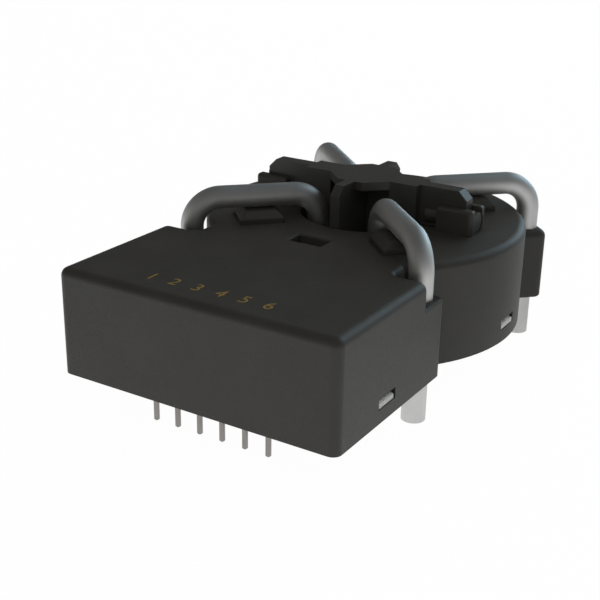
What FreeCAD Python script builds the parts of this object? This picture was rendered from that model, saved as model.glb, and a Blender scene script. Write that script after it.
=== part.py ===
import FreeCAD, Part
import math
import os
import Sketcher
from FreeCAD import Placement, Rotation, Vector

# Board-mounted residual-current sensor: an electronics box at the front, a round core drum behind it, and four
# thick conductors that rise outside the drum, cross its top and go down through its central hole.
# X is to the right, Y to the back, Z up. The origin is on the axis of the hole, in the plane of the circuit board
# that the sensor is soldered to. All sizes are in millimetres.

os.makedirs("parts", exist_ok=True)
doc = FreeCAD.newDocument("current_sensor")
sheet = doc.addObject("Spreadsheet::Sheet", "sizes")

SIZES = [
    ("case_front", 31.45, "hole axis to the front face"),
    ("case_height", 10.65, "board plane to the flat top"),
    ("side_wall", 1.2, "thickness of the outer walls"),
    ("roof", 1.3, "thickness of the top"),
    ("hole_radius", 7.0, "central hole"),
    ("sleeve_wall", 0.9, "tube between the hole and the core"),
    ("edge_round", 0.85, "rounding of the top edges"),
    ("corner_round", 0.9, "rounding of the upright corners"),
    ("corner_wall", 0.65, "side of the box beyond a leg"),
    ("drum_gap", 0.49, "outside of the drum to a leg"),
    ("boss_height", 7.95, "top of the ledges and ears that hold the outer legs"),
    ("ear_wall", 0.75, "ear wall beside a leg"),
    ("ear_cap", 0.66, "ear wall outside a leg"),
    ("ledge_wall", 0.5, "ledge wall behind a leg"),
    ("ledge_round", 0.3, "rounding of the outer edges of the ledges and of the foot of the ears"),
    ("notch_gap", 0.75, "free space between a front leg and its notch"),
    ("wire_diameter", 2.4, "conductor"),
    ("leg_offset", 13.25, "outer legs from both mid planes"),
    ("inner_offset", 3.63, "inner legs from both mid planes"),
    ("outer_bend", 3.0, "outer bends of the conductors, to the centre line"),
    ("inner_bend", 2.75, "inner bends of the conductors, to the centre line"),
    ("run_rise", 2.43, "conductor centre line above the flat top"),
    ("leg_length", 4.6, "conductor ends below the board plane"),
    ("wire_fit", 0.05, "gap round a leg in its bore"),
    ("end_bevel", 0.2, "bevel of the conductor ends"),
    ("pin_pitch", 2.54, "signal pins"),
    ("pin_diameter", 0.55, "signal pin"),
    ("pin_setback", 3.08, "front face to the row of pins"),
    ("pin_length", 3.9, "pin tips below the board plane"),
    ("pin_proud", 0.6, "pins above the inner circuit board"),
    ("pin_tip", 0.12, "bevel of the pin ends"),
    ("pin_fit", 0.06, "gap round a pin in its hole"),
    ("separator_rise", 4.28, "top of the separator above the flat top"),
    ("arm_thickness", 1.5, "long arms"),
    ("arm_reach", 11.9, "long arms, from the axis"),
    ("arm_bevel", 0.9, "bevel of the arm ends"),
    ("cross_thickness", 1.1, "short arms"),
    ("cross_fit", 0.32, "short arm ends to the wall of the hole"),
    ("separator_foot", 0.3, "lower end of the separator above the board plane"),
    ("plate_thickness", 0.9, "plate between the arms"),
    ("plate_depth", 3.65, "plate, front and back edges from the axis"),
    ("plate_nose", 1.4, "half width of those edges"),
    ("flange_half", 1.58, "half width of the plate along the long arms"),
    ("flange_start", 3.55, "where that width begins"),
    ("flange_end", 6.65, "where that width ends"),
    ("clip_start", 9.1, "inner end of the clips"),
    ("clip_end", 13.0, "outer end of the clips"),
    ("clip_half", 1.75, "half width of the clips"),
    ("clip_height", 2.6, "clips above the flat top"),
    ("clip_round", 0.45, "rounding of the outer corners of the clips"),
    ("clip_edge", 0.35, "rounding of the top edges of the clips"),
    ("rod_radius", 1.05, "round rods under the long arms"),
    ("rod_rest", 0.1, "rods above the flat top"),
    ("rod_start", 7.4, "inner end of the rods"),
    ("clip_fit", 0.08, "gap between the rods, the arms and the clips"),
    ("pad_start", 9.4, "inner end of the support pads, along a conductor"),
    ("pad_end", 14.0, "outer end of the support pads"),
    ("pad_half", 2.35, "half width of the support pads"),
    ("pad_edge", 0.55, "upright sides of the support pads, below their slopes"),
    ("soft_edge", 0.25, "rounding of the pads and of the rim of the recess"),
    ("window_width", 3.1, "snap windows"),
    ("window_bottom", 1.4, "snap windows above the board plane"),
    ("window_height", 1.1, "snap windows"),
    ("window_setback", 8.75, "front face to the middle of the side windows"),
    ("recess_width", 3.7, "recess in the top"),
    ("recess_length", 2.25, "recess in the top"),
    ("recess_centre", 11.45, "recess in front of the axis"),
    ("recess_depth", 0.9, "recess in the top"),
    ("cover_thickness", 1.0, "base cover"),
    ("cover_inset", 0.2, "base cover above the board plane"),
    ("cover_fit", 0.15, "gap round the base cover"),
    ("hook_width", 2.7, "snap hooks of the base cover"),
    ("hook_fit", 0.05, "hooks above the lower edge of their windows"),
    ("hook_height", 1.02, "snap hooks"),
    ("hook_face", 0.42, "upright face of a hook, below its slope"),
    ("hook_stop", 0.08, "hooks behind the outside of the wall"),
    ("hook_root", 0.6, "thickness of the hook stems"),
    ("stem_inset", 0.1, "hook stems in the drum, inside the edge of the cover"),
    ("board_lift", 2.7, "board above the base cover"),
    ("board_thickness", 1.0, "inner circuit board"),
    ("board_fit", 0.2, "gap round the inner circuit board"),
    ("post_size", 1.4, "corner posts under and over the board"),
    ("box_wall", 0.55, "core case"),
    ("core_fit", 0.1, "gap between the core and its case"),
    ("winding_thickness", 0.6, "winding"),
    ("winding_fit", 0.4, "gap between the winding and the inside of the drum, the sleeve and the top"),
    ("winding_gap", 30.0, "open sector of the winding, in degrees"),
    ("shield_fit", 0.15, "gap between the winding and the magnetic shield"),
    ("shield_thickness", 0.4, "magnetic shield"),
    ("shield_room", 0.9, "gap between the shield and the inside of the drum, where the hook stems stand"),
    ("shield_gap", 56.0, "open sector of the shield, in degrees"),
    ("lead_diameter", 0.35, "winding leads"),
    ("lead_offset", 3.2, "winding leads from the mid plane"),
    ("lead_fit", 0.05, "winding leads from the winding"),
    ("lead_length", 1.2, "winding leads over the board"),
    ("processor_size", 6.0, "square chip"),
    ("processor_height", 1.2, "square chip"),
    ("amplifier_length", 5.0, "amplifier chip"),
    ("amplifier_width", 4.0, "amplifier chip"),
    ("amplifier_height", 1.5, "amplifier chip"),
    ("tank_length", 3.5, "tantalum capacitor"),
    ("tank_width", 2.8, "tantalum capacitor"),
    ("tank_height", 1.9, "tantalum capacitor"),
    ("small_length", 2.0, "ceramic capacitor and resistors"),
    ("small_width", 1.25, "ceramic capacitor and resistors"),
    ("filter_height", 1.0, "ceramic capacitor"),
    ("burden_height", 0.55, "resistors"),
    ("row_shift", 0.7, "ceramic capacitor from the mid plane"),
    ("chip_gap", 0.8, "gap between neighbours in the row of components"),
    ("chip_back", 5.0, "row of components in front of the rear edge of the board"),
    ("chip_bevel", 0.1, "bevel of the component tops"),
    ("overlap", 0.1, "features of one piece run this far into each other"),
    ("overshoot", 0.5, "cuts run this far past a surface"),
]
for row, (alias, value, note) in enumerate(SIZES, 1):
    sheet.set(f"A{row}", note)
    sheet.set(f"B{row}", str(value))
    sheet.setAlias(f"B{row}", alias)
doc.recompute()


class Size:
    """A length together with the sheet formula that drives it."""

    def __init__(self, value, formula):
        self.value = float(value)
        self.formula = formula

    def __add__(self, other):
        other = size(other)
        return Size(self.value + other.value, f"({self.formula} + {other.formula})")

    def __sub__(self, other):
        other = size(other)
        return Size(self.value - other.value, f"({self.formula} - {other.formula})")

    def __mul__(self, other):
        other = size(other)
        return Size(self.value * other.value, f"({self.formula} * {other.formula})")

    def __truediv__(self, other):
        other = size(other)
        return Size(self.value / other.value, f"({self.formula} / {other.formula})")

    def __neg__(self):
        return Size(-self.value, f"(0 - {self.formula})")


def size(x):
    """A sheet size by its name, or a plain number."""
    if isinstance(x, Size):
        return x
    if isinstance(x, str):
        return Size(sheet.get(x), f"sizes.{x}")
    return Size(x, str(x))


def new_body(name):
    body = doc.addObject("PartDesign::Body", name)
    body.Label = name
    return body


def new_sketch(body, name, plane="XY_Plane", lift=0, turn=0):
    """A sketch on an origin plane of its body, lifted off it and turned in it."""
    sketch = body.newObject("Sketcher::SketchObject", name)
    support = [f for f in body.Origin.OriginFeatures if f.Role == plane][0]
    sketch.AttachmentSupport = [(support, "")]
    sketch.MapMode = "FlatFace"
    lift = size(lift)
    sketch.AttachmentOffset = Placement(Vector(0, 0, lift.value), Rotation(Vector(0, 0, 1), turn))
    sketch.setExpression("AttachmentOffset.Base.z", lift.formula)
    return sketch


def pin_point(sketch, geometry, point, x, y):
    """Ties one point of a sketch to the sheet."""
    for axis, kind, line in ((x, "DistanceX", -2), (y, "DistanceY", -1)):
        axis = size(axis)
        if axis.formula == "0":
            sketch.addConstraint(Sketcher.Constraint("PointOnObject", geometry, point, line))
        else:
            index = sketch.addConstraint(Sketcher.Constraint(kind, -1, 1, geometry, point, axis.value))
            sketch.setExpression(f"Constraints[{index}]", axis.formula)


def add_polygon(sketch, points):
    """A closed outline with every corner tied to the sheet."""
    points = [(size(x), size(y)) for x, y in points]
    first = sketch.GeometryCount
    count = len(points)
    for i, (x, y) in enumerate(points):
        nx, ny = points[(i + 1) % count]
        sketch.addGeometry(Part.LineSegment(Vector(x.value, y.value, 0), Vector(nx.value, ny.value, 0)))
    for i in range(count):
        sketch.addConstraint(Sketcher.Constraint("Coincident", first + i, 2, first + (i + 1) % count, 1))
    for i, (x, y) in enumerate(points):
        pin_point(sketch, first + i, 1, x, y)


def add_box(sketch, x0, y0, x1, y1):
    add_polygon(sketch, [(x0, y0), (x1, y0), (x1, y1), (x0, y1)])


def add_circle(sketch, x, y, radius):
    x, y, radius = size(x), size(y), size(radius)
    index = sketch.addGeometry(Part.Circle(Vector(x.value, y.value, 0), Vector(0, 0, 1), radius.value))
    pin_point(sketch, index, 3, x, y)
    constraint = sketch.addConstraint(Sketcher.Constraint("Radius", index, radius.value))
    sketch.setExpression(f"Constraints[{constraint}]", radius.formula)


def extrude(body, sketch, kind, length, reverse=False, middle=False):
    """A pad or a pocket whose length follows the sheet. A pocket must remove something."""
    before = body.Shape.Volume if kind == "Pocket" else 0.0
    feature = body.newObject(f"PartDesign::{kind}", f"{sketch.Name}_{kind.lower()}")
    feature.Profile = sketch
    length = size(length)
    feature.Length = length.value
    feature.setExpression("Length", length.formula)
    feature.Reversed = reverse
    feature.Midplane = middle
    sketch.Visibility = False
    doc.recompute()
    if kind == "Pocket" and not body.Shape.Volume < before - 1e-4:
        raise ValueError(f"{feature.Name} removes nothing")
    return feature


def dress(body, kind, name, edges, amount):
    """A fillet or a chamfer on the edges that the test picks."""
    base = body.Tip
    picked = [f"Edge{i}" for i, edge in enumerate(base.Shape.Edges, 1) if edges(edge)]
    feature = body.newObject(f"PartDesign::{kind}", name)
    feature.Base = (base, picked)
    amount = size(amount)
    field = "Radius" if kind == "Fillet" else "Size"
    setattr(feature, field, amount.value)
    feature.setExpression(field, amount.formula)
    doc.recompute()
    return feature


def spin(body, sketch, angle=360, refine=True):
    """A full or partial turn of a profile about Z."""
    feature = body.newObject("PartDesign::Revolution", f"{sketch.Name}_turned")
    feature.Profile = sketch
    feature.ReferenceAxis = (sketch, ["V_Axis"])
    angle = size(angle)
    feature.Angle = angle.value
    feature.setExpression("Angle", angle.formula)
    feature.Refine = refine
    sketch.Visibility = False
    doc.recompute()
    return feature


def upright(edge):
    a, b = edge.Vertexes[0].Point, edge.Vertexes[-1].Point
    return len(edge.Vertexes) == 2 and math.hypot(a.x - b.x, a.y - b.y) < 1e-5 and abs(a.z - b.z) > 1e-3


def upright_side(edge):
    """An edge in one of the two side faces of the box."""
    return all(abs(abs(v.Point.x) - HALF) < 1e-4 for v in edge.Vertexes)


def level(edge, z):
    box = edge.BoundBox
    return abs(box.ZMin - z) < 1e-4 and abs(box.ZMax - z) < 1e-4


# Sizes that several pieces share
wire_radius = size("wire_diameter") / 2
leg_radial = size("leg_offset") * math.sqrt(2)
inner_radial = size("inner_offset") * math.sqrt(2)
half_width = size("leg_offset") + wire_radius + "corner_wall"
front = -size("case_front")
drum_radius = leg_radial - wire_radius - "drum_gap"
bore_radius = wire_radius + "wire_fit"
notch_y = -(size("leg_offset") + wire_radius + "notch_gap")
notch_x = size("leg_offset") - wire_radius - "notch_gap"
box_back = -(size("leg_offset") - wire_radius - "ledge_wall")
run_z = size("case_height") + "run_rise"
rod_z = size("case_height") + "rod_rest" + "rod_radius"
ceiling = size("case_height") - "roof"
sleeve_radius = size("hole_radius") + "sleeve_wall"
chamber_radius = drum_radius - "side_wall"
room_x = half_width - "side_wall"
room_front = front + "side_wall"
room_back = notch_y - "side_wall"
passage_x = notch_x - "side_wall"
passage_back = -(sleeve_radius + chamber_radius) / 2
window_y = front + "window_setback"
cover_top = size("cover_inset") + "cover_thickness"
board_bottom = cover_top + "board_lift"
board_top = board_bottom + "board_thickness"
pin_y = front + "pin_setback"
window_half = size("window_width") / 2

# Case: box and drum as one black moulding, open below. The back corners of the box are cut down to ledges and the
# drum carries two ears; the outer legs of the conductors pass through them.
case = new_body("case")
lower = new_sketch(case, "box_foot")
add_box(lower, -half_width, front, half_width, box_back)
extrude(case, lower, "Pad", "boss_height")
upper = new_sketch(case, "box_outline")
add_polygon(upper, [
    (-half_width, front), (half_width, front), (half_width, notch_y), (notch_x, notch_y),
    (notch_x, box_back), (-notch_x, box_back), (-notch_x, notch_y), (-half_width, notch_y)])
extrude(case, upper, "Pad", "case_height")
drum = new_sketch(case, "drum_outline")
add_circle(drum, 0, 0, drum_radius)
extrude(case, drum, "Pad", "case_height")
ear_half = wire_radius + "ear_wall"
ear_end = leg_radial + wire_radius + "ear_cap"
ear_root = drum_radius - "side_wall"
ears = new_sketch(case, "ear_outline", turn=45)
add_box(ears, ear_root, -ear_half, ear_end, ear_half)
add_box(ears, -ear_half, ear_root, ear_half, ear_end)
extrude(case, ears, "Pad", "boss_height")

R, HALF, LEG = drum_radius.value, half_width.value, leg_radial.value
NOTCH_X, NOTCH_Y = notch_x.value, notch_y.value


def outer_corner(edge):
    """Upright corners of the box, the notches and the ears, away from the seam with the drum."""
    if not upright(edge):
        return False
    p = edge.Vertexes[0].Point
    radius = math.hypot(p.x, p.y)
    on_box = abs(abs(p.x) - HALF) < 1e-4 and p.y < 0
    in_notch = abs(abs(p.x) - NOTCH_X) < 1e-4 and abs(p.y - NOTCH_Y) < 1e-4
    end_of_ear = p.y > 0 and radius > LEG
    return on_box or in_notch or end_of_ear


dress(case, "Fillet", "corner_rounding", outer_corner, "corner_round")
TOP, LEDGE = sheet.case_height, sheet.boss_height


def top_edge(edge):
    """Outline of the flat top, and the free outline of the ears."""
    return level(edge, TOP) or (level(edge, LEDGE) and on_ear(edge))


def on_ear(edge):
    """An edge behind the mid plane that lies outside the drum."""
    centre = edge.valueAt((edge.FirstParameter + edge.LastParameter) / 2)
    return centre.y > 0 and math.hypot(centre.x, centre.y) > R + 0.05


def ledge_edge(edge):
    """Outer edges of the ledges, and the foot of the ears."""
    return (level(edge, LEDGE) and upright_side(edge)) or (level(edge, 0) and on_ear(edge))


dress(case, "Fillet", "top_rounding", top_edge, "edge_round")
dress(case, "Fillet", "ledge_rounding", ledge_edge, "ledge_round")

# Inside of the case: the electronics room, the ring-shaped core chamber and the passage between them
room = new_sketch(case, "room_outline")
add_box(room, -room_x, room_front, room_x, room_back)
extrude(case, room, "Pocket", ceiling, reverse=True)
passage = new_sketch(case, "passage_outline")
add_box(passage, -passage_x, room_back - "overlap", passage_x, passage_back)
extrude(case, passage, "Pocket", ceiling, reverse=True)
chamber = new_sketch(case, "chamber_outline")
add_circle(chamber, 0, 0, chamber_radius)
add_circle(chamber, 0, 0, sleeve_radius)
extrude(case, chamber, "Pocket", ceiling, reverse=True)
hole = new_sketch(case, "hole_outline")
add_circle(hole, 0, 0, "hole_radius")
extrude(case, hole, "Pocket", size("case_height") + "overshoot", reverse=True)

# Bores for the four outer legs
bores = new_sketch(case, "leg_bores")
for side_x in (-1, 1):
    for side_y in (-1, 1):
        add_circle(bores, size("leg_offset") * side_x, size("leg_offset") * side_y, bore_radius)
extrude(case, bores, "Pocket", size("boss_height") + "overshoot", reverse=True)

# Clips on the flat top that hold the rods of the separator
clips = new_sketch(case, "clip_outline", lift="case_height")
for side in (-1, 1):
    add_box(clips, size("clip_start") * side, -size("clip_half"), size("clip_end") * side, "clip_half")
extrude(case, clips, "Pad", "clip_height")
CLIP_END = sheet.clip_end
dress(case, "Fillet", "clip_rounding",
      lambda e: upright(e) and abs(abs(e.Vertexes[0].Point.x) - CLIP_END) < 1e-4
      and e.BoundBox.ZMin > TOP - 1e-4, "clip_round")
CLIP_TOP = (size("case_height") + "clip_height").value
dress(case, "Fillet", "clip_top_rounding", lambda e: level(e, CLIP_TOP), "clip_edge")
clip_bore = new_sketch(case, "clip_bore", "YZ_Plane")
add_circle(clip_bore, 0, rod_z, size("rod_radius") + "clip_fit")
extrude(case, clip_bore, "Pocket", (size("clip_end") + "overshoot") * 2, middle=True)
slot_half = size("arm_thickness") / 2 + "clip_fit"
clip_slot = new_sketch(case, "clip_slot", "YZ_Plane")
add_box(clip_slot, -slot_half, rod_z, slot_half, size("case_height") + "clip_height" + "overshoot")
extrude(case, clip_slot, "Pocket", (size("clip_end") + "overshoot") * 2, middle=True)

# Four pads with sloping sides on the flat top, one under each conductor
pads = new_sketch(case, "pad_outline", lift="case_height", turn=45)
half = size("pad_half")
pad_height = size("run_rise") - wire_radius
for side in (-1, 1):
    add_box(pads, size("pad_start") * side, -half, size("pad_end") * side, half)
    add_box(pads, -half, size("pad_start") * side, half, size("pad_end") * side)
extrude(case, pads, "Pad", pad_height)
PAD_TOP = (size("case_height") + pad_height).value
dress(case, "Chamfer", "pad_slopes", lambda e: level(e, PAD_TOP), pad_height - "pad_edge")
PAD_MIDDLE = (size("case_height") + "pad_edge").value


def pad_corner(edge):
    """Upright and sloping corners of the pads, and the line between their sides and slopes."""
    ends = sorted(v.Point.z for v in edge.Vertexes)
    low, high = ends[0], ends[-1]
    on_pad = min(math.hypot(v.Point.x, v.Point.y) for v in edge.Vertexes) > sheet.pad_start
    return on_pad and (
        level(edge, PAD_MIDDLE)
        or (abs(low - PAD_MIDDLE) < 1e-4 and abs(high - PAD_TOP) < 1e-4)
        or (abs(low - TOP) < 1e-4 and abs(high - PAD_MIDDLE) < 1e-4))


dress(case, "Fillet", "pad_rounding", pad_corner, "soft_edge")

# Snap windows low in the side walls, two in the box and two in the drum
windows = new_sketch(case, "windows", lift="window_bottom")
for side in (-1, 1):
    add_box(windows, (room_x - "overshoot") * side, window_y - window_half,
            (half_width + "overshoot") * side, window_y + window_half)
    add_box(windows, (chamber_radius - "overshoot") * side, -window_half,
            (drum_radius + "overshoot") * side, window_half)
extrude(case, windows, "Pocket", "window_height", reverse=True)

# Shallow recess in the top
recess = new_sketch(case, "recess", lift="case_height")
recess_half = size("recess_length") / 2
add_box(recess, -size("recess_width") / 2, -size("recess_centre") - recess_half,
        size("recess_width") / 2, -size("recess_centre") + recess_half)
extrude(case, recess, "Pocket", "recess_depth")


def recess_rim(edge):
    """The four edges round the mouth of the recess."""
    if not level(edge, TOP) or len(edge.Vertexes) != 2:
        return False
    return all(abs(v.Point.x) < sheet.recess_width and -RIM_FRONT < v.Point.y < -RIM_BACK for v in edge.Vertexes)


RIM_FRONT = (size("recess_centre") + "recess_length").value
RIM_BACK = (size("recess_centre") - "recess_length").value
dress(case, "Fillet", "recess_rounding", recess_rim, "soft_edge")

# Corner posts that hold the circuit board down
keepers = new_sketch(case, "board_keepers", lift=ceiling)
for side in (-1, 1):
    inner = (room_x - "post_size") * side
    outer = (room_x + "overlap") * side
    add_box(keepers, inner, room_front - "overlap", outer, room_front + "post_size")
    add_box(keepers, inner, room_back - "post_size", outer, room_back + "overlap")
extrude(case, keepers, "Pad", ceiling - board_top, reverse=True)

# Base cover: plate in the open bottom, with posts for the circuit board and four snap hooks
cover = new_body("base_cover")
plate = new_sketch(cover, "cover_room", lift="cover_inset")
add_box(plate, -(room_x - "cover_fit"), room_front + "cover_fit", room_x - "cover_fit", room_back - "cover_fit")
extrude(cover, plate, "Pad", "cover_thickness")
bridge = new_sketch(cover, "cover_passage", lift="cover_inset")
add_box(bridge, -(passage_x - "cover_fit"), room_back - "cover_fit" - "overlap", passage_x - "cover_fit", passage_back)
extrude(cover, bridge, "Pad", "cover_thickness")
ring = new_sketch(cover, "cover_ring", lift="cover_inset")
add_circle(ring, 0, 0, chamber_radius - "cover_fit")
add_circle(ring, 0, 0, sleeve_radius + "cover_fit")
extrude(cover, ring, "Pad", "cover_thickness")
posts = new_sketch(cover, "board_posts", lift=cover_top)
for side in (-1, 1):
    inner = (room_x - "post_size") * side
    outer = (room_x - "cover_fit") * side
    add_box(posts, inner, room_front + "cover_fit", outer, room_front + "post_size")
    add_box(posts, inner, room_back - "post_size", outer, room_back - "cover_fit")
extrude(cover, posts, "Pad", "board_lift")
hook_bottom = size("window_bottom") + "hook_fit"
hook_half = size("hook_width") / 2
stems = new_sketch(cover, "hook_stems", lift=cover_top)
for side in (-1, 1):
    outer = (room_x - "cover_fit") * side
    add_box(stems, outer - size("hook_root") * side, window_y - hook_half, outer, window_y + hook_half)
    outer = (chamber_radius - "cover_fit" - "stem_inset") * side
    add_box(stems, outer - size("hook_root") * side, -hook_half, outer, hook_half)
extrude(cover, stems, "Pad", hook_bottom + "hook_height" - cover_top)
hook_top = hook_bottom + "hook_height"
for name, place, wall_in, wall_out, stem in (
        ("box", window_y, room_x, half_width, room_x - "cover_fit"),
        ("drum", size(0), chamber_radius, drum_radius, chamber_radius - "cover_fit" - "stem_inset")):
    noses = new_sketch(cover, f"{name}_hook_noses", "XZ_Plane", lift=-place)
    tip = wall_out - "hook_stop"
    nose = [(wall_in - "hook_root", hook_bottom), (tip, hook_bottom), (tip, hook_bottom + "hook_face"),
            (stem, hook_top), (wall_in - "hook_root", hook_top)]
    add_polygon(noses, nose)
    add_polygon(noses, [(-x, z) for x, z in nose])
    extrude(cover, noses, "Pad", "hook_width", middle=True)
pin_holes = new_sketch(cover, "cover_pin_holes", lift="cover_inset")
for i in range(6):
    add_circle(pin_holes, size("pin_pitch") * (i - 2.5), pin_y, size("pin_diameter") / 2 + "pin_fit")
extrude(cover, pin_holes, "Pocket", size("cover_thickness") + "overshoot", reverse=True)

# Separator: a cross that stands in the hole and keeps the conductors apart; rods under its long arms sit in the clips
separator = new_body("separator")
sep_top = size("case_height") + "separator_rise"
cross_end = size("hole_radius") - "cross_fit"
arm_base = size("case_height") + "rod_rest"
arm_step = size("clip_start") - "rod_rest"
bevel_z = sep_top - "arm_bevel"
long_arms = new_sketch(separator, "long_arms", "XZ_Plane")
right_side = [
    (cross_end, "separator_foot"), (cross_end, arm_base), (arm_step, arm_base), (arm_step, rod_z),
    (size("arm_reach"), rod_z), (size("arm_reach"), bevel_z), (size("arm_reach") - "arm_bevel", sep_top)]
add_polygon(long_arms, right_side + [(-x, y) for x, y in reversed(right_side)])
extrude(separator, long_arms, "Pad", "arm_thickness", middle=True)
short_arms = new_sketch(separator, "short_arms", "YZ_Plane")
right_side = [(cross_end, "separator_foot"), (cross_end, bevel_z), (cross_end - "arm_bevel", sep_top)]
add_polygon(short_arms, right_side + [(-x, y) for x, y in reversed(right_side)])
extrude(separator, short_arms, "Pad", "cross_thickness", middle=True)
webs = new_sketch(separator, "plate_outline", lift=sep_top)
quarter = [(size("flange_end"), size("flange_half")), (size("flange_start"), size("flange_half")),
           (size("plate_nose"), size("plate_depth"))]
outline = quarter + [(-x, y) for x, y in reversed(quarter)]
outline = outline + [(-x, -y) for x, y in outline]
add_polygon(webs, outline)
extrude(separator, webs, "Pad", "plate_thickness", reverse=True)
blocks = new_sketch(separator, "arm_blocks", lift="separator_foot")
for side in (-1, 1):
    add_box(blocks, size("flange_start") * side, -size("flange_half"), size("flange_end") * side, "flange_half")
extrude(separator, blocks, "Pad", sep_top - "separator_foot")
for name, side in (("left_rod", -1), ("right_rod", 1)):
    rod = new_sketch(separator, name, "YZ_Plane", lift=size("rod_start") * side)
    add_circle(rod, 0, rod_z, "rod_radius")
    extrude(separator, rod, "Pad", size("clip_end") - "rod_start" - "clip_fit", reverse=side < 0)

# Conductors: thick tinned wire, bent twice at right angles, with bevelled ends. Their legs are split at the board
# plane, so that what stands in the board is a face of its own.
outer_bend, inner_bend = size("outer_bend"), size("inner_bend")
for name, angle in (("conductor_front_left", -135), ("conductor_front_right", -45),
                    ("conductor_rear_right", 45), ("conductor_rear_left", 135)):
    wire = new_body(name)
    legs = new_sketch(wire, f"{name}_legs")
    add_circle(legs, leg_radial, 0, wire_radius)
    add_circle(legs, inner_radial, 0, wire_radius)
    wire.AllowCompound = True
    extrude(wire, legs, "Pad", "leg_length", reverse=True)
    dress(wire, "Chamfer", f"{name}_ends", lambda e: level(e, -sheet.leg_length), "end_bevel")
    path = new_sketch(wire, f"{name}_path", "XZ_Plane")
    low, near = run_z - outer_bend, run_z - inner_bend
    stops = [(leg_radial, 0), (leg_radial, low), (leg_radial - outer_bend, run_z),
             (inner_radial + inner_bend, run_z), (inner_radial, near), (inner_radial, 0)]
    stops = [(size(x), size(y)) for x, y in stops]
    points = [Vector(x.value, y.value, 0) for x, y in stops]
    out_centre = Vector(points[2].x, points[1].y, 0)
    in_centre = Vector(points[3].x, points[4].y, 0)
    path.addGeometry(Part.LineSegment(points[0], points[1]))
    path.addGeometry(Part.ArcOfCircle(Part.Circle(out_centre, Vector(0, 0, 1), outer_bend.value), 0, math.pi / 2))
    path.addGeometry(Part.LineSegment(points[2], points[3]))
    path.addGeometry(Part.ArcOfCircle(
        Part.Circle(in_centre, Vector(0, 0, 1), inner_bend.value), math.pi / 2, math.pi))
    path.addGeometry(Part.LineSegment(points[4], points[5]))
    for one, other in (((0, 2), (1, 1)), ((1, 2), (2, 1)), ((2, 2), (3, 1)), ((3, 2), (4, 1))):
        path.addConstraint(Sketcher.Constraint("Coincident", *one, *other))
    for (x, y), (line, end) in zip(stops, ((0, 1), (0, 2), (1, 2), (2, 2), (4, 1), (4, 2))):
        pin_point(path, line, end, x, y)
    for arc, radius in ((1, outer_bend), (3, inner_bend)):
        index = path.addConstraint(Sketcher.Constraint("Radius", arc, radius.value))
        path.setExpression(f"Constraints[{index}]", radius.formula)
    section = new_sketch(wire, f"{name}_section")
    add_circle(section, leg_radial, 0, wire_radius)
    doc.recompute()
    pipe = wire.newObject("PartDesign::AdditivePipe", f"{name}_sweep")
    pipe.Profile = section
    pipe.Spine = (path, [f"Edge{i}" for i in range(1, 6)])
    pipe.Mode = "Standard"
    pipe.Refine = False
    doc.recompute()
    wire.Placement = Placement(Vector(0, 0, 0), Rotation(Vector(0, 0, 1), angle))

# Six round signal pins in a row under the front of the box, split at the board plane like the legs
for i in range(6):
    pin = new_body(f"signal_pin_{i + 1}")
    profile = new_sketch(pin, f"pin_{i + 1}_profile", "XZ_Plane")
    radius = size("pin_diameter") / 2
    bottom, top = -size("pin_length"), board_top + "pin_proud"
    add_polygon(profile, [
        (0, bottom), (radius - "pin_tip", bottom), (radius, bottom + "pin_tip"), (radius, 0),
        (radius, top - "pin_tip"), (radius - "pin_tip", top), (0, top)])
    spin(pin, profile, refine=False)
    place = (size("pin_pitch") * (i - 2.5), pin_y)
    pin.Placement = Placement(Vector(place[0].value, place[1].value, 0), Rotation())
    pin.setExpression("Placement.Base.x", place[0].formula)
    pin.setExpression("Placement.Base.y", place[1].formula)

# Inner circuit board with the holes of the signal pins
board = new_body("circuit_board")
outline = new_sketch(board, "board_outline", lift=board_bottom)
board_front = room_front + "board_fit"
board_back = room_back - "board_fit"
board_half = room_x - "board_fit"
add_box(outline, -board_half, board_front, board_half, board_back)
extrude(board, outline, "Pad", "board_thickness")
pin_holes = new_sketch(board, "board_pin_holes", lift=board_bottom)
for i in range(6):
    add_circle(pin_holes, size("pin_pitch") * (i - 2.5), pin_y, size("pin_diameter") / 2 + "pin_fit")
extrude(board, pin_holes, "Pocket", size("board_thickness") + "overshoot", reverse=True)

# Core stack in the drum: a wound strip core in a two-part case, the winding round it and an open shield round that.
# The stack fills the chamber between the sleeve, the shield's room at the outside, the cover and the top.
shield_outer = chamber_radius - "shield_room"
shield_inner = shield_outer - "shield_thickness"
winding_outer = shield_inner - "shield_fit"
winding_inner = sleeve_radius + "winding_fit"
winding_top = ceiling - "winding_fit"
box_inner = winding_inner + "winding_thickness" + "core_fit"
box_outer = winding_outer - "winding_thickness" - "core_fit"
box_bottom = cover_top + "winding_thickness" + "core_fit"
box_top = winding_top - "winding_thickness" - "core_fit"
core_inner = box_inner + "box_wall" + "core_fit"
core_outer = box_outer - "box_wall" - "core_fit"
core_bottom = box_bottom + "box_wall"
lid_bottom = box_top - "box_wall"
core_top = lid_bottom - "core_fit"


def face_open_side(body, gap):
    """Turns a partial ring so that its open sector faces the front."""
    turn = size(gap) / 2 + 270
    body.Placement = Placement(Vector(0, 0, 0), Rotation(Vector(0, 0, 1), turn.value))
    body.setExpression("Placement.Rotation.Angle", turn.formula)


core = new_body("magnetic_core")
profile = new_sketch(core, "core_profile", "XZ_Plane")
add_box(profile, core_inner, core_bottom, core_outer, core_top)
spin(core, profile)

tray = new_body("core_case")
profile = new_sketch(tray, "core_case_profile", "XZ_Plane")
add_polygon(profile, [
    (box_inner, box_bottom), (box_outer, box_bottom), (box_outer, lid_bottom),
    (box_outer - "box_wall", lid_bottom), (box_outer - "box_wall", core_bottom),
    (box_inner + "box_wall", core_bottom), (box_inner + "box_wall", lid_bottom), (box_inner, lid_bottom)])
spin(tray, profile)

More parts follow.
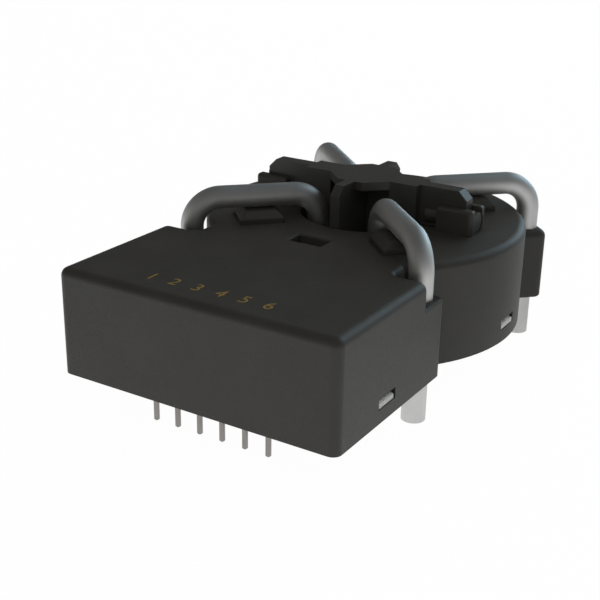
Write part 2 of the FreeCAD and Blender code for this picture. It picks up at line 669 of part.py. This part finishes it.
lid = new_body("core_case_lid")
profile = new_sketch(lid, "core_lid_profile", "XZ_Plane")
add_box(profile, box_inner, lid_bottom, box_outer, box_top)
spin(lid, profile)

winding = new_body("winding")
profile = new_sketch(winding, "winding_profile", "XZ_Plane")
add_box(profile, winding_inner, cover_top, winding_outer, winding_top)
add_box(profile, winding_inner + "winding_thickness", cover_top + "winding_thickness",
        winding_outer - "winding_thickness", winding_top - "winding_thickness")
spin(winding, profile, size(360) - "winding_gap")
face_open_side(winding, "winding_gap")

shield = new_body("shield_ring")
profile = new_sketch(shield, "shield_profile", "XZ_Plane")
add_box(profile, shield_inner, cover_top, shield_outer, winding_top)
spin(shield, profile, size(360) - "shield_gap")
face_open_side(shield, "shield_gap")

# Leads of the winding, lying on the rear edge of the board
lead_reach = Size(math.sqrt(winding_outer.value ** 2 - sheet.lead_offset ** 2),
                  f"sqrt({winding_outer.formula}^2 - sizes.lead_offset^2)")
lead_start = -(lead_reach + "lead_fit")
for name, side in (("winding_lead_left", -1), ("winding_lead_right", 1)):
    lead = doc.addObject("Part::Cylinder", name)
    lead.Label = name
    lead.Placement = Placement(Vector(0, 0, 0), Rotation(Vector(1, 0, 0), 90))
    lead_radius = size("lead_diameter") / 2
    for field, value in (("Radius", lead_radius), ("Height", lead_start - board_back + "lead_length"),
                         ("Placement.Base.x", size("lead_offset") * side), ("Placement.Base.y", lead_start),
                         ("Placement.Base.z", board_top + lead_radius)):
        lead.setExpression(field, value.formula)

# Components on the board, in a row across it; the two resistors stand one behind the other at its left end
chip_y = board_back - "chip_back"
filter_x = size("row_shift")
processor_x = filter_x - size("small_width") / 2 - "chip_gap" - size("processor_size") / 2
burden_x = processor_x - size("processor_size") / 2 - "chip_gap" - size("small_length") / 2
amplifier_x = filter_x + size("small_width") / 2 + "chip_gap" + size("amplifier_length") / 2
tank_x = amplifier_x + size("amplifier_length") / 2 + "chip_gap" + size("tank_length") / 2
burden_y = (size("small_width") + "chip_gap") / 2
for name, x, y, length, width, height in (
        ("processor_chip", processor_x, chip_y, "processor_size", "processor_size", "processor_height"),
        ("amplifier_chip", amplifier_x, chip_y, "amplifier_length", "amplifier_width", "amplifier_height"),
        ("tantalum_capacitor", tank_x, chip_y, "tank_length", "tank_width", "tank_height"),
        ("filter_capacitor", filter_x, chip_y, "small_width", "small_length", "filter_height"),
        ("burden_resistor_left", burden_x, chip_y - burden_y, "small_length", "small_width", "burden_height"),
        ("burden_resistor_right", burden_x, chip_y + burden_y, "small_length", "small_width", "burden_height")):
    piece = new_body(name)
    length, width = size(length), size(width)
    outline = new_sketch(piece, f"{name}_outline", lift=board_top)
    add_box(outline, x - length / 2, y - width / 2, x + length / 2, y + width / 2)
    extrude(piece, outline, "Pad", height)
    upper = (board_top + height).value
    dress(piece, "Chamfer", f"{name}_bevel", lambda e: level(e, upper), "chip_bevel")

doc.recompute()

SKIP = ("App::Origin", "App::Line", "App::Plane", "App::Point")
broken = [o.Name for o in doc.Objects if {"Invalid", "Error"} & set(o.State)]
if broken:
    raise ValueError(f"failed features: {broken}")
pieces = [o for o in doc.Objects if o.TypeId == "PartDesign::Body" or o.TypeId == "Part::Cylinder"]
for piece in pieces:
    shape = piece.Shape
    if shape.isNull() or not shape.isValid() or len(shape.Solids) != 1:
        raise ValueError(f"{piece.Label}: {len(shape.Solids)} solids, valid {shape.isValid()}")
for piece in pieces:
    piece.Shape.exportStep(f"parts/{piece.Label}.step")
print(len(pieces), "pieces written")
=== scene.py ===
import math

import bpy
from mathutils import Matrix, Vector


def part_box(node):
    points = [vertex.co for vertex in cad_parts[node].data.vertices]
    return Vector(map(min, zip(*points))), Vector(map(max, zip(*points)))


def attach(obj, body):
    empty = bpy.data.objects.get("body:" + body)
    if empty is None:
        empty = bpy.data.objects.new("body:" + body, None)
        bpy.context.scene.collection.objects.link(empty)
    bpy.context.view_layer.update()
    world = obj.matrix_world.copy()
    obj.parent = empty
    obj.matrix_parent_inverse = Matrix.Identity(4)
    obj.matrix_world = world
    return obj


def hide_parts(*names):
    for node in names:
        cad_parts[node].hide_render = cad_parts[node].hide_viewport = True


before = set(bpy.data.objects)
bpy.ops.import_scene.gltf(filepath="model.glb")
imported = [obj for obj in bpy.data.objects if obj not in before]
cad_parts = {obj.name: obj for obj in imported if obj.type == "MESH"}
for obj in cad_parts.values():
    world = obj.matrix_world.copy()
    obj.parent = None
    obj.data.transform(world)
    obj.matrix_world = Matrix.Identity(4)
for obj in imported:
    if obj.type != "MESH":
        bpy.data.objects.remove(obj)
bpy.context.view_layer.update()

scene = bpy.context.scene
scene.view_settings.view_transform = "Standard"

# Camera: at the photograph's viewing angle, a little above the sensor and to the right of its front. Its
# place and its lens are those that fit the pins, the legs and the edges of the box.
view_turn, view_rise, view_roll = math.radians(31.6367), math.radians(21.802), math.radians(1.0029)
view_point = (0.0554056, -0.1030488, 0.0469963)
lens = bpy.data.cameras.new("camera_lens")
lens.lens = 68.0576
lens.sensor_width = 36.0
lens.clip_start = 0.001
lens.clip_end = 20.0
camera = bpy.data.objects.new("camera", lens)
scene.collection.objects.link(camera)
turn = Matrix.Rotation(view_turn, 4, "Z") @ Matrix.Rotation(math.pi / 2 - view_rise, 4, "X")
camera.matrix_world = Matrix.Translation(view_point) @ turn @ Matrix.Rotation(view_roll, 4, "Z")
scene.camera = camera


# Studio: a white table under the ends of the legs, soft light from behind and above, a weaker one from the
# front, two cool windows behind, one high and one low, and a dim room. The camera sees table and room as
# plain white, and the sensor mirrors a table that darkens from its front to its back.
def node_adder(tree):
    """A function that adds a node to the tree, with its settings and with values or sockets as inputs."""
    def add(kind, inputs=None, **settings):
        node = tree.nodes.new(kind)
        for key, value in settings.items():
            setattr(node, key, value)
        for key, value in (inputs or {}).items():
            if isinstance(value, bpy.types.NodeSocket):
                tree.links.new(value, node.inputs[key])
            else:
                node.inputs[key].default_value = value
        return node
    return add


def maths(add, operation, *values):
    """The result of one calculation on numbers or sockets."""
    return add("ShaderNodeMath", dict(enumerate(values)), operation=operation).outputs[0]


def graded(add, value, start, end, at_start, at_end):
    """A number that goes from one value to another while the given one goes from start to end."""
    return add("ShaderNodeMapRange", {
        "Value": value, "From Min": start, "From Max": end, "To Min": at_start, "To Max": at_end}).outputs[0]


def new_material(name):
    """A material with an empty node tree, and its function that adds nodes."""
    material = bpy.data.materials.new(name)
    material.use_nodes = True
    material.node_tree.nodes.clear()
    return material, node_adder(material.node_tree)


world = bpy.data.worlds.new("room")
scene.world = world
world.use_nodes = True
world.node_tree.nodes.clear()
add = node_adder(world.node_tree)
path = add("ShaderNodeLightPath").outputs
direction = add("ShaderNodeSeparateXYZ", {0: add("ShaderNodeTexCoord").outputs["Generated"]}).outputs
room_light = graded(add, direction["Z"], start=0.05, end=0.75, at_start=0.145, at_end=0.08)
dim = add("ShaderNodeBackground", {"Color": (1.0, 0.99, 0.95, 1.0), "Strength": room_light})
white = add("ShaderNodeBackground", {"Color": (1.0, 1.0, 1.0, 1.0), "Strength": 1.0})
mix = add("ShaderNodeMixShader", {0: path["Is Camera Ray"], 1: dim.outputs[0], 2: white.outputs[0]})
add("ShaderNodeOutputWorld", {"Surface": mix.outputs[0]})

table_top, table_radius, table_glow = -0.0046, 4.0, 0.98
bpy.ops.mesh.primitive_circle_add(
    vertices=96, radius=table_radius, fill_type="NGON", location=(0, 0, table_top))
table = bpy.context.object
table.name = "table"
material, add = new_material("white table")
path = add("ShaderNodeLightPath").outputs
place = add("ShaderNodeSeparateXYZ", {0: add("ShaderNodeTexCoord").outputs["Object"]}).outputs
mirrored = graded(add, place["Y"], start=-0.025, end=0.03, at_start=1.0, at_end=0.62)
bright = add("ShaderNodeMix", {0: path["Is Camera Ray"], 2: mirrored, 3: 1.0}, data_type="FLOAT")
shown = maths(add, "MAXIMUM", path["Is Camera Ray"], path["Is Glossy Ray"])
share = maths(add, "MULTIPLY", shown, table_glow)
paint = add("ShaderNodeBsdfDiffuse", {"Color": (0.90, 0.90, 0.89, 1.0)})
glow = add("ShaderNodeEmission", {"Color": (1.0, 1.0, 1.0, 1.0), "Strength": bright.outputs[0]})
mix = add("ShaderNodeMixShader", {0: share, 1: paint.outputs[0], 2: glow.outputs[0]})
add("ShaderNodeOutputMaterial", {"Surface": mix.outputs[0]})
table.data.materials.append(material)


def soft_lamp(name, direction, size, radiance, color, glossy):
    """A rectangular lamp one metre away that faces the sensor; glossy says whether surfaces mirror it."""
    width, height = size
    lamp = bpy.data.lights.new(name, "AREA")
    lamp.shape = "RECTANGLE"
    lamp.size = width
    lamp.size_y = height
    lamp.energy = radiance * math.pi * width * height
    lamp.color = color
    thing = bpy.data.objects.new(name, lamp)
    scene.collection.objects.link(thing)
    direction = Vector(direction).normalized()
    facing = direction.to_track_quat("Z", "Y").to_matrix().to_4x4()
    thing.matrix_world = Matrix.Translation(direction) @ facing
    thing.visible_glossy = glossy
    thing.visible_camera = False


warm, cool = (1.0, 0.985, 0.95), (0.62, 0.86, 1.0)
soft_lamp("main_lamp", (0.1, 0.8, 0.7), size=(1.2, 0.9), radiance=2.1, color=warm, glossy=False)
soft_lamp("front_lamp", (0.2, -0.65, 0.85), size=(1.3, 1.3), radiance=1.25, color=warm, glossy=False)
soft_lamp("window_lamp", (0.50, 0.85, 0.70), size=(0.8, 0.4), radiance=1.25, color=cool, glossy=True)
soft_lamp("low_window_lamp", (0.10, 0.97, 0.22), size=(0.5, 0.25), radiance=4.0, color=cool, glossy=True)


# Case: box and drum in one black moulding of glass-filled plastic, with the matt grain of an eroded mould.
# The grain is stronger on the upright faces than on the flat top, as the photograph shows.
def two_tones(add, factor, dark, light):
    """A colour between two, that follows a noise."""
    ramp = add("ShaderNodeValToRGB", {0: factor})
    ramp.color_ramp.elements[0].position = 0.30
    ramp.color_ramp.elements[0].color = (*dark, 1.0)
    ramp.color_ramp.elements[1].position = 0.70
    ramp.color_ramp.elements[1].color = (*light, 1.0)
    return ramp.outputs["Color"]


def between(add, factor, low, high):
    """A number between two, that follows a noise."""
    return graded(add, factor, start=0.3, end=0.7, at_start=low, at_end=high)


def noise(add, place, scale, detail=3.0, roughness=0.6):
    """Random unevenness from 0 to 1, with about as many humps to a metre as its scale."""
    return add("ShaderNodeTexNoise", {
        "Vector": place, "Scale": scale, "Detail": detail, "Roughness": roughness}).outputs["Fac"]


def relief(add, height, strength, depth):
    """Small heights of a surface, seen as shading."""
    return add("ShaderNodeBump", {"Height": height, "Strength": strength, "Distance": depth}).outputs[0]


def finish_surface(add, color, roughness, normal=None, metallic=0.0):
    """Gives a material its surface, from values or sockets."""
    inputs = {"Base Color": color, "Roughness": roughness, "Metallic": metallic}
    if normal:
        inputs["Normal"] = normal
    surface = add("ShaderNodeBsdfPrincipled", inputs)
    add("ShaderNodeOutputMaterial", {"Surface": surface.outputs[0]})


def clad(material, *names):
    """Gives CAD nodes their material."""
    for name in names:
        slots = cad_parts[name].data.materials
        slots.clear()
        slots.append(material)


upright_grain, flat_grain, grain_relief = 0.5, 0.08, 0.00006
case_dark, case_light = (0.0206, 0.0196, 0.0174), (0.0246, 0.0235, 0.0208)
case_plastic, add = new_material("moulded black plastic")
place = add("ShaderNodeTexCoord").outputs["Object"]
grain = noise(add, place, 5200.0, detail=3.0, roughness=0.65)
facing = add("ShaderNodeSeparateXYZ", {0: add("ShaderNodeNewGeometry").outputs["Normal"]}).outputs
flatness = maths(add, "ABSOLUTE", facing["Z"])
strength = graded(add, flatness, start=0.2, end=0.8, at_start=upright_grain, at_end=flat_grain)
patches = noise(add, place, 260.0, detail=2.0, roughness=0.5)
finish_surface(add, two_tones(add, patches, case_dark, case_light), between(add, grain, 0.49, 0.56),
               relief(add, grain, strength, grain_relief))
clad(case_plastic, "case")

# Pin numbers: the plain numbers 1 to 6 over the signal pins, in their order and at their pitch. They are
# pad-printed in ochre ink on the case's flat top.
digit_size, ink_thickness = 0.0021, 0.00002
pin_count, pin_pitch = 6, 0.00254
case_top = 0.01065
pin_low, pin_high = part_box("signal_pin_1")
row_y = (pin_low[1] + pin_high[1]) / 2
material, add = new_material("ochre ink")
place = add("ShaderNodeTexCoord").outputs["Object"]
cover_of_ink = noise(add, place, 7000.0)
finish_surface(add, two_tones(add, cover_of_ink, (0.120, 0.078, 0.016), (0.175, 0.115, 0.026)),
               between(add, cover_of_ink, 0.50, 0.62))
digits = []
for number in range(pin_count):
    letter = bpy.data.curves.new(f"digit_{number + 1}", "FONT")
    letter.body = str(number + 1)
    letter.size = digit_size
    letter.align_x = "CENTER"
    letter.align_y = "CENTER"
    letter.extrude = ink_thickness / 2
    shape = bpy.data.objects.new(f"digit_{number + 1}", letter)
    scene.collection.objects.link(shape)
    bpy.context.view_layer.update()
    mesh = bpy.data.meshes.new_from_object(shape.evaluated_get(bpy.context.evaluated_depsgraph_get()))
    mesh.transform(Matrix.Translation((pin_pitch * (number - (pin_count - 1) / 2), row_y, case_top)))
    bpy.data.objects.remove(shape)
    digit = bpy.data.objects.new(f"pin_number_{number + 1}", mesh)
    scene.collection.objects.link(digit)
    mesh.materials.clear()
    mesh.materials.append(material)
    digits.append(digit)
with bpy.context.temp_override(active_object=digits[0], selected_editable_objects=digits):
    bpy.ops.object.join()
pin_numbers = digits[0]
pin_numbers.name = "pin_numbers"
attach(pin_numbers, "root")


# Base cover: natural light grey plastic. Its plate closes the open bottom, its posts carry the circuit
# board, and its four hooks snap into the windows of the case, where they show.
def moulded_plastic(name, dark, light, roughness, grain_scale, grain_strength):
    """Plastic with the grain of its mould, evenly all over."""
    material, add = new_material(name)
    place = add("ShaderNodeTexCoord").outputs["Object"]
    grain = noise(add, place, grain_scale)
    patches = noise(add, place, 300.0, detail=2.0)
    finish_surface(add, two_tones(add, patches, dark, light),
                   between(add, grain, roughness - 0.04, roughness + 0.04),
                   relief(add, grain, grain_strength, depth=0.00004))
    return material


cover_plastic = moulded_plastic(
    "light grey plastic", dark=(0.49, 0.49, 0.47), light=(0.55, 0.55, 0.53), roughness=0.42,
    grain_scale=5000.0, grain_strength=0.2)
clad(cover_plastic, "base_cover")

# Circuit board: glass laminate under green solder mask, with the faint relief of its copper tracks. It lies
# on the posts of the base cover and carries the signal pins and all components.
track_scale, track_share, track_relief = 420.0, 0.72, 0.00003
over_laminate, over_copper = (0.012, 0.085, 0.035, 1.0), (0.022, 0.150, 0.060, 1.0)
material, add = new_material("green solder mask")
place = add("ShaderNodeTexCoord").outputs["Object"]
tracks = []
for axis, patch_scale in (("X", 330.0), ("Y", 290.0)):
    wave = add("ShaderNodeTexWave", {"Vector": place, "Scale": track_scale, "Distortion": 0.0},
               bands_direction=axis)
    chosen = maths(add, "GREATER_THAN", noise(add, place, patch_scale, detail=1.0), 0.5)
    line = maths(add, "GREATER_THAN", wave.outputs["Fac"], track_share)
    tracks.append(maths(add, "MULTIPLY", chosen, line))
copper = maths(add, "MAXIMUM", *tracks)
tone = add("ShaderNodeMix", {0: copper, 6: over_laminate, 7: over_copper}, data_type="RGBA")
finish_surface(add, tone.outputs[2], between(add, noise(add, place, 3000.0), 0.28, 0.38),
               relief(add, copper, 0.5, track_relief))
clad(material, "circuit_board")

# Chips: the processor and the amplifier, each a block of black epoxy moulded round its silicon, with a fine
# dull grain. They are soldered flat to the board.
chip_epoxy = moulded_plastic(
    "chip epoxy", dark=(0.014, 0.014, 0.015), light=(0.020, 0.020, 0.021), roughness=0.55,
    grain_scale=14000.0, grain_strength=0.3)
clad(chip_epoxy, "processor_chip", "amplifier_chip")


# Small components: a tantalum capacitor with a dark band at one end, a ceramic capacitor and two glazed
# resistors with tinned ends, all soldered to the board.
def ended_body(name, axis, edges, dark, light, ends, metal_ends, roughness):
    """A body whose colour changes near the ends of one axis, at two shares of its length."""
    low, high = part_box(name)
    start, length = low["XYZ".index(axis)], high["XYZ".index(axis)] - low["XYZ".index(axis)]
    material, add = new_material(f"{name} body")
    place = add("ShaderNodeTexCoord").outputs["Object"]
    spot = add("ShaderNodeSeparateXYZ", {0: place}).outputs[axis]
    before = maths(add, "LESS_THAN", spot, start + edges[0] * length)
    after = maths(add, "GREATER_THAN", spot, start + edges[1] * length)
    at_end = maths(add, "MAXIMUM", before, after)
    grain = noise(add, place, 8000.0)
    body = two_tones(add, grain, dark, light)
    tone = add("ShaderNodeMix", {0: at_end, 6: body, 7: (*ends, 1.0)}, data_type="RGBA")
    finish_surface(add, tone.outputs[2], between(add, grain, roughness - 0.05, roughness + 0.05),
                   relief(add, grain, 0.2, depth=0.00003), metallic=at_end if metal_ends else 0.0)
    clad(material, name)


tin_color, band_color = (0.62, 0.62, 0.61), (0.10, 0.035, 0.012)
ended_body("tantalum_capacitor", "X", edges=(0.0, 0.82), dark=(0.42, 0.22, 0.030),
           light=(0.50, 0.27, 0.040), ends=band_color, metal_ends=False, roughness=0.45)
ended_body("filter_capacitor", "Y", edges=(0.22, 0.78), dark=(0.30, 0.20, 0.115),
           light=(0.35, 0.24, 0.140), ends=tin_color, metal_ends=True, roughness=0.40)
for name in ("burden_resistor_left", "burden_resistor_right"):
    ended_body(name, "X", edges=(0.20, 0.80), dark=(0.012, 0.012, 0.014),
               light=(0.018, 0.018, 0.020), ends=tin_color, metal_ends=True, roughness=0.25)

# Magnetic core: thin soft magnetic strip, wound to a ring that lies round the central hole. Its upper and
# lower face show the turns of the strip.
material, add = new_material("wound strip")
place = add("ShaderNodeTexCoord").outputs["Object"]
wave = add("ShaderNodeTexWave", {"Vector": place, "Scale": 1900.0, "Distortion": 0.6, "Detail": 2.0},
           wave_type="RINGS", rings_direction="Z")
turns = wave.outputs["Fac"]
finish_surface(add, two_tones(add, turns, (0.30, 0.30, 0.31), (0.46, 0.46, 0.48)),
               between(add, turns, 0.38, 0.30), relief(add, turns, 0.4, depth=0.00003), metallic=1.0)
clad(material, "magnetic_core")

# Core case: a moulded tray and its lid, of dark grey plastic, which keep the winding's pressure off the
# brittle core. The lid lies on the tray's walls.
tray_plastic = moulded_plastic(
    "dark grey plastic", dark=(0.040, 0.040, 0.041), light=(0.052, 0.052, 0.053), roughness=0.50,
    grain_scale=6000.0, grain_strength=0.25)
clad(tray_plastic, "core_case", "core_case_lid")

# Winding: enamelled copper wire, wound turn beside turn round the cased core, with an open sector where its
# leads come out. One ring solid stands for it; the relief of its turns is in the material, with painted
# shade in the grooves between the turns.
turn_count, wire_relief = 168, 0.00015
material, add = new_material("enamelled copper turns")
place = add("ShaderNodeTexCoord").outputs["Object"]
spot = add("ShaderNodeSeparateXYZ", {0: place}).outputs
angle = maths(add, "ARCTAN2", spot["Y"], spot["X"])
crown_and_groove_shade = maths(add, "ABSOLUTE", maths(add, "SINE", maths(add, "MULTIPLY", angle, turn_count / 2)))
# Painted shade: the colour darkens from the crown of each turn to the groove beside it, where shade falls.
finish_surface(add, two_tones(add, crown_and_groove_shade, (0.20, 0.045, 0.012), (0.55, 0.17, 0.055)),
               between(add, noise(add, place, 2500.0), 0.24, 0.34),
               relief(add, crown_and_groove_shade, 0.8, wire_relief), metallic=1.0)
clad(material, "winding")

# Leads of the winding: its two ends, of the same enamelled copper wire. They lie on the board, to which
# they are soldered, and show fine drawing marks along the wire.
material, add = new_material("enamelled copper wire")
place = add("ShaderNodeTexCoord").outputs["Object"]
drawn = add("ShaderNodeMapping", {"Vector": place, "Scale": (9000.0, 500.0, 9000.0)})
marks = noise(add, drawn.outputs[0], 1.0)
finish_surface(add, two_tones(add, marks, (0.42, 0.115, 0.034), (0.55, 0.17, 0.055)),
               between(add, marks, 0.24, 0.34), metallic=1.0)
clad(material, "winding_lead_left", "winding_lead_right")

# Shield ring: a strip of bright rolled soft magnetic sheet, bent to an open ring round the winding, on the
# base cover. Fine rolling marks run round it.
material, add = new_material("rolled sheet")
place = add("ShaderNodeTexCoord").outputs["Object"]
rolled = add("ShaderNodeMapping", {"Vector": place, "Scale": (350.0, 350.0, 9000.0)})
marks = noise(add, rolled.outputs[0], 1.0)
finish_surface(add, two_tones(add, marks, (0.40, 0.40, 0.41), (0.50, 0.50, 0.51)),
               between(add, marks, 0.26, 0.38), relief(add, marks, 0.15, depth=0.00002), metallic=1.0)
clad(material, "shield_ring")

# Signal pins: six round brass pins with a satin tin coating. They are drawn, cut with a bevel and soldered
# into the board, and go down through the base cover.
material, add = new_material("tinned pin")
place = add("ShaderNodeTexCoord").outputs["Object"]
drawn = add("ShaderNodeMapping", {"Vector": place, "Scale": (9000.0, 9000.0, 700.0)})
marks = noise(add, drawn.outputs[0], 1.0, detail=2.0)
finish_surface(add, two_tones(add, marks, (0.23, 0.22, 0.205), (0.29, 0.28, 0.265)),
               between(add, marks, 0.30, 0.40), metallic=1.0)
clad(material, *(f"signal_pin_{number + 1}" for number in range(pin_count)))

# Separator: a smooth black moulding, a cross that keeps the four conductors apart in the hole. Its long
# arms and the round rods under them are snapped into the clips on the drum.
separator_plastic = moulded_plastic(
    "smooth black plastic", dark=(0.0195, 0.0191, 0.0177), light=(0.0236, 0.0231, 0.0215), roughness=0.42,
    grain_scale=7000.0, grain_strength=0.1)
clad(separator_plastic, "separator")

# Conductors: copper wire of 2.4 mm with a satin tin coating, bent twice at right angles over a former,
# which leaves faint marks along the wire. Each is swept along its centre line and turned to its corner of
# the square of legs.
wire_diameter, end_bevel = 0.0024, 0.0002
leg_length, run_height = 0.0046, 0.01308
leg_offset, inner_offset = 0.01325, 0.00363
outer_bend, inner_bend = 0.0030, 0.00275
bend_points, section_points = 28, 48
sharp_edge = math.radians(35)
mark_share, wire_unevenness = 0.55, 0.00003
satin_tin, add = new_material("satin tin")
along = add("ShaderNodeAttribute", attribute_name="wire_place").outputs["Vector"]
drawn = add("ShaderNodeMapping", {"Vector": along, "Scale": (2600.0, 2600.0, 110.0)})
marks = maths(add, "MULTIPLY", noise(add, drawn.outputs[0], 1.0), mark_share)
both = maths(add, "MULTIPLY_ADD", noise(add, along, 9000.0, detail=2.0), 1 - mark_share, marks)
patches = noise(add, along, 420.0, detail=3.0, roughness=0.55)
finish_surface(add, two_tones(add, patches, (0.69, 0.69, 0.685), (0.75, 0.75, 0.745)),
               graded(add, both, start=0.35, end=0.65, at_start=0.55, at_end=0.65),
               relief(add, both, 0.12, wire_unevenness), metallic=1.0)

wire_tree = bpy.data.node_groups.new("bent_wire", "GeometryNodeTree")
wire_tree.interface.new_socket("Geometry", in_out="OUTPUT", socket_type="NodeSocketGeometry")
sockets = {}
for label, usual in (
        ("Outer leg", leg_offset * math.sqrt(2)), ("Inner leg", inner_offset * math.sqrt(2)),
        ("Leg length", leg_length), ("Run height", run_height), ("Outer bend", outer_bend),
        ("Inner bend", inner_bend), ("Wire radius", wire_diameter / 2), ("End bevel", end_bevel),
        ("Turn", 0.0)):
    socket = wire_tree.interface.new_socket(label, in_out="INPUT", socket_type="NodeSocketFloat")
    socket.default_value = usual
    sockets[label] = socket.identifier
add = node_adder(wire_tree)
given = add("NodeGroupInput").outputs
stop = add("GeometryNodeInputIndex").outputs[0]


def place_of(x, z):
    return add("ShaderNodeCombineXYZ", {"X": x, "Y": 0.0, "Z": z}).outputs[0]


def is_stop(number, operation="EQUAL"):
    return add("FunctionNodeCompare", {"A": stop, "B": number}, data_type="INT",
               operation=operation).outputs[0]


foot = maths(add, "SUBTRACT", 0.0, given["Leg length"])
shoulder = maths(add, "ADD", foot, given["End bevel"])
stops = (
    (given["Outer leg"], foot), (given["Outer leg"], shoulder), (given["Outer leg"], given["Run height"]),
    (given["Inner leg"], given["Run height"]), (given["Inner leg"], shoulder), (given["Inner leg"], foot))
line = add("GeometryNodeCurvePrimitiveLine", {"Start": place_of(*stops[0]), "End": place_of(*stops[-1])})
divided = add("GeometryNodeResampleCurve", {"Curve": line.outputs[0], "Count": len(stops)})
spot = place_of(*stops[0])
for number, corner in enumerate(stops[1:], 1):
    spot = add("GeometryNodeSwitch", {
        "Switch": is_stop(number, "GREATER_EQUAL"), "False": spot, "True": place_of(*corner)},
        input_type="VECTOR").outputs[0]
laid = add("GeometryNodeSetPosition", {"Geometry": divided.outputs[0], "Position": spot})

# Both tips are narrower by the bevel, and the wire is bent at its stops 2 and 3.
tip = add("GeometryNodeCurveEndpointSelection").outputs[0]
narrow = maths(add, "SUBTRACT", 1.0, maths(add, "DIVIDE", given["End bevel"], given["Wire radius"]))
width = add("ShaderNodeMix", {0: tip, 2: 1.0, 3: narrow}, data_type="FLOAT").outputs[0]
tapered = add("GeometryNodeSetCurveRadius", {"Curve": laid.outputs[0], "Radius": width})
outer_corner = maths(add, "MULTIPLY", is_stop(2), given["Outer bend"])
inner_corner = maths(add, "MULTIPLY", is_stop(3), given["Inner bend"])
bend = maths(add, "ADD", outer_corner, inner_corner)
bent = add("GeometryNodeFilletCurve", {
    "Curve": tapered.outputs[0], "Count": bend_points, "Radius": bend}, mode="POLY")

# The tube keeps, for its marks, each point's place in the section and its distance along the wire.
kept = add("GeometryNodeCaptureAttribute", {"Geometry": bent.outputs[0]})
kept.capture_items.new("FLOAT", "along")
wire_tree.links.new(add("GeometryNodeSplineParameter").outputs["Length"], kept.inputs[1])
section = add("GeometryNodeCurvePrimitiveCircle", {
    "Resolution": section_points, "Radius": given["Wire radius"]})
ring = add("GeometryNodeCaptureAttribute", {"Geometry": section.outputs[0]})
ring.capture_items.new("VECTOR", "around")
wire_tree.links.new(add("GeometryNodeInputPosition").outputs[0], ring.inputs[1])
tube = add("GeometryNodeCurveToMesh", {
    "Curve": kept.outputs[0], "Profile Curve": ring.outputs[0], "Fill Caps": True})
split = add("ShaderNodeSeparateXYZ", {0: ring.outputs[1]})
join = add("ShaderNodeCombineXYZ", {"X": split.outputs[0], "Y": split.outputs[1], "Z": kept.outputs[1]})
noted = add("GeometryNodeStoreNamedAttribute", {
    "Geometry": tube.outputs[0], "Name": "wire_place", "Value": join.outputs[0]},
    data_type="FLOAT_VECTOR", domain="POINT")
rotation = add("ShaderNodeCombineXYZ", {"X": 0.0, "Y": 0.0, "Z": given["Turn"]}).outputs[0]
turned = add("GeometryNodeTransform", {"Geometry": noted.outputs[0], "Rotation": rotation})
real = add("GeometryNodeRealizeInstances", {"Geometry": turned.outputs[0]})
coated = add("GeometryNodeSetMaterial", {"Geometry": real.outputs[0], "Material": satin_tin})
add("NodeGroupOutput", {"Geometry": coated.outputs[0]})

for name, angle in (("front_left", -135), ("front_right", -45), ("rear_right", 45), ("rear_left", 135)):
    seed = bpy.data.objects.new(f"wire_{name}_seed", bpy.data.meshes.new(f"wire_{name}_seed"))
    scene.collection.objects.link(seed)
    made = seed.modifiers.new("bent_wire", "NODES")
    made.node_group = wire_tree
    made[sockets["Turn"]] = math.radians(angle)
    seed.update_tag()
    bpy.context.view_layer.update()
    shape = bpy.data.meshes.new_from_object(seed.evaluated_get(bpy.context.evaluated_depsgraph_get()))
    bpy.data.objects.remove(seed)
    shape.shade_smooth()
    shape.set_sharp_from_angle(angle=sharp_edge)
    wire = bpy.data.objects.new(f"wire_{name}", shape)
    scene.collection.objects.link(wire)
    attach(wire, "root")
    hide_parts(f"conductor_{name}")
